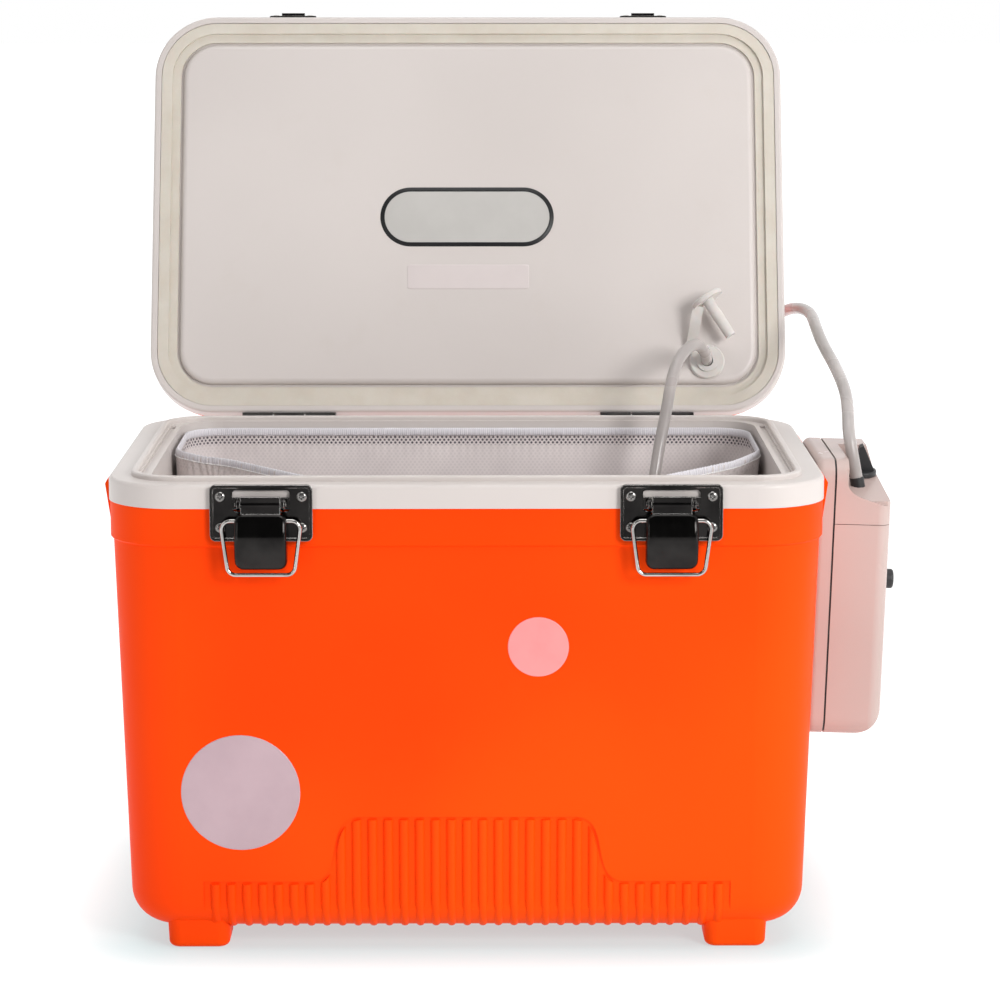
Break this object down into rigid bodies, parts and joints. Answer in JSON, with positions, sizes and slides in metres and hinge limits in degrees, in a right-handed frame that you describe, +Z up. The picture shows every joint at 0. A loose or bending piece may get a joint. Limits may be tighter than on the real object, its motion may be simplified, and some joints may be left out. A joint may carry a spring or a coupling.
{
  "type": "insulated live bait box",
  "caption": "Insulated live bait box with hinged lid open, hanging mesh net, wire-bail latches, lid hose port and a clip-on battery air pump",
  "frame": {"origin": "on the floor under the middle of the box", "axes": "+X along the box towards the pump, +Y from the latches to the hinges, +Z up"},
  "size_m": [0.4099, 0.3549, 0.4671],
  "materials": {
    "orange_plastic": "glossy moulded",
    "white_plastic": "satin moulded",
    "pump_plastic": "glossy moulded",
    "cream_rubber": "soft, matt",
    "black_rubber": "matt",
    "black_plastic": "fine texture",
    "latch_metal": "dark nickel plate",
    "steel": "bright",
    "foam": "closed-cell foam, matt",
    "net_fabric": "knitted mesh",
    "clear_tube": "soft clear vinyl",
    "stone_grit": "porous",
    "cell_jacket": "bare jacket",
    "copper_board": "solder-mask"
  },
  "bodies": {
    "tub": {"air_nozzle": "black_plastic", "air_stone": "stone_grit", "airline_inner": "clear_tube", "airline_outer": "clear_tube", "battery_cradle": "black_plastic", "bracket_screws": "steel", "circuit_board": "copper_board", "contact_plate": "steel", "contact_springs": "steel", "foam_insulation": "foam", "hinge_body_screws": "steel", "latch_screws": "steel", "left_battery_cell": "cell_jacket", "left_hinge_body_leaf": "latch_metal", "left_hinge_pin": "steel", "left_latch_pin": "latch_metal", "left_latch_plate": "latch_metal", "motor": "steel", "net_liner": "net_fabric", "outer_shell": "orange_plastic", "pump_bracket": "pump_plastic", "pump_cap": "pump_plastic", "pump_head": "black_rubber", "pump_rear_shell": "pump_plastic", "pump_seal": "black_rubber", "right_battery_cell": "cell_jacket", "right_hinge_body_leaf": "latch_metal", "right_hinge_pin": "steel", "right_latch_pin": "latch_metal", "right_latch_plate": "latch_metal", "rocker": "white_plastic", "rotary_switch": "black_plastic", "tub_liner": "white_plastic"},
    "lid": {"lid_inner_tray": "white_plastic", "lid_outer_shell": "orange_plastic", "lid_foam": "foam", "lid_gasket": "cream_rubber", "left_hinge_lid_leaf": "latch_metal", "right_hinge_lid_leaf": "latch_metal", "hinge_lid_screws": "steel", "left_keeper": "latch_metal", "right_keeper": "latch_metal", "keeper_screws": "steel", "port_grommet": "cream_rubber"},
    "left_lever": {"left_latch_lever": "latch_metal"},
    "right_lever": {"right_latch_lever": "latch_metal"},
    "left_bail": {"left_latch_bail": "latch_metal"},
    "right_bail": {"right_latch_bail": "latch_metal"},
    "plug": {"port_plug": "cream_rubber"},
    "battery_cover": {"pump_cover": "pump_plastic", "button_spring": "steel"},
    "button": {"side_button": "black_rubber"},
    "knob": {"selector_knob": "black_plastic"},
    "crank": {"eccentric": "white_plastic"}
  },
  "joints": [
    {"name": "lid_hinge", "type": "hinge", "parent": "tub", "child": "lid", "pos_m": [0, 0.12025, 0.2426], "axis": [-1, 0, 0], "range_deg": [-110, 0], "deforming": ["airline_outer", "airline_inner"]},
    {"name": "left_lever_swing", "type": "hinge", "parent": "tub", "child": "left_lever", "pos_m": [-0.1018, -0.12275, 0.2336], "axis": [1, 0, 0], "range_deg": [-115, 0]},
    {"name": "left_bail_swing", "type": "hinge", "parent": "left_lever", "child": "left_bail", "pos_m": [-0.1018, -0.12375, 0.2256], "axis": [-1, 0, 0], "range_deg": [0, 180]},
    {"name": "right_lever_swing", "type": "hinge", "parent": "tub", "child": "right_lever", "pos_m": [0.1018, -0.12275, 0.2336], "axis": [1, 0, 0], "range_deg": [-115, 0]},
    {"name": "right_bail_swing", "type": "hinge", "parent": "right_lever", "child": "right_bail", "pos_m": [0.1018, -0.12375, 0.2256], "axis": [-1, 0, 0], "range_deg": [0, 180]},
    {"name": "plug_strap_flex", "type": "hinge", "parent": "lid", "child": "plug", "pos_m": [0.12713, 0.13258, 0.28175], "axis": [0.9833, -0.0622, -0.1709], "range_deg": [0, 30], "stiffness_Nm_per_rad": 0.02},
    {"name": "battery_cover_slide", "type": "slide", "parent": "tub", "child": "battery_cover", "axis": [0.9995, 0, -0.0314], "range_m": [0, 0.045]},
    {"name": "side_button_press", "type": "slide", "parent": "battery_cover", "child": "button", "axis": [-0.9995, 0, 0.0314], "range_m": [0, 0.0015], "stiffness_N_per_m": 500, "springref_m": -0.0005},
    {"name": "selector_turn", "type": "hinge", "parent": "tub", "child": "knob", "pos_m": [0.20906, 0.003, 0.22818], "axis": [0.0311, -0.1392, 0.9898], "range_deg": [0, 90]},
    {"name": "eccentric_spin", "type": "hinge", "parent": "tub", "child": "crank", "pos_m": [0.20213, 0.024, 0.18607], "axis": [0.0314, 0, 0.9995], "continuous": true}
  ]
}
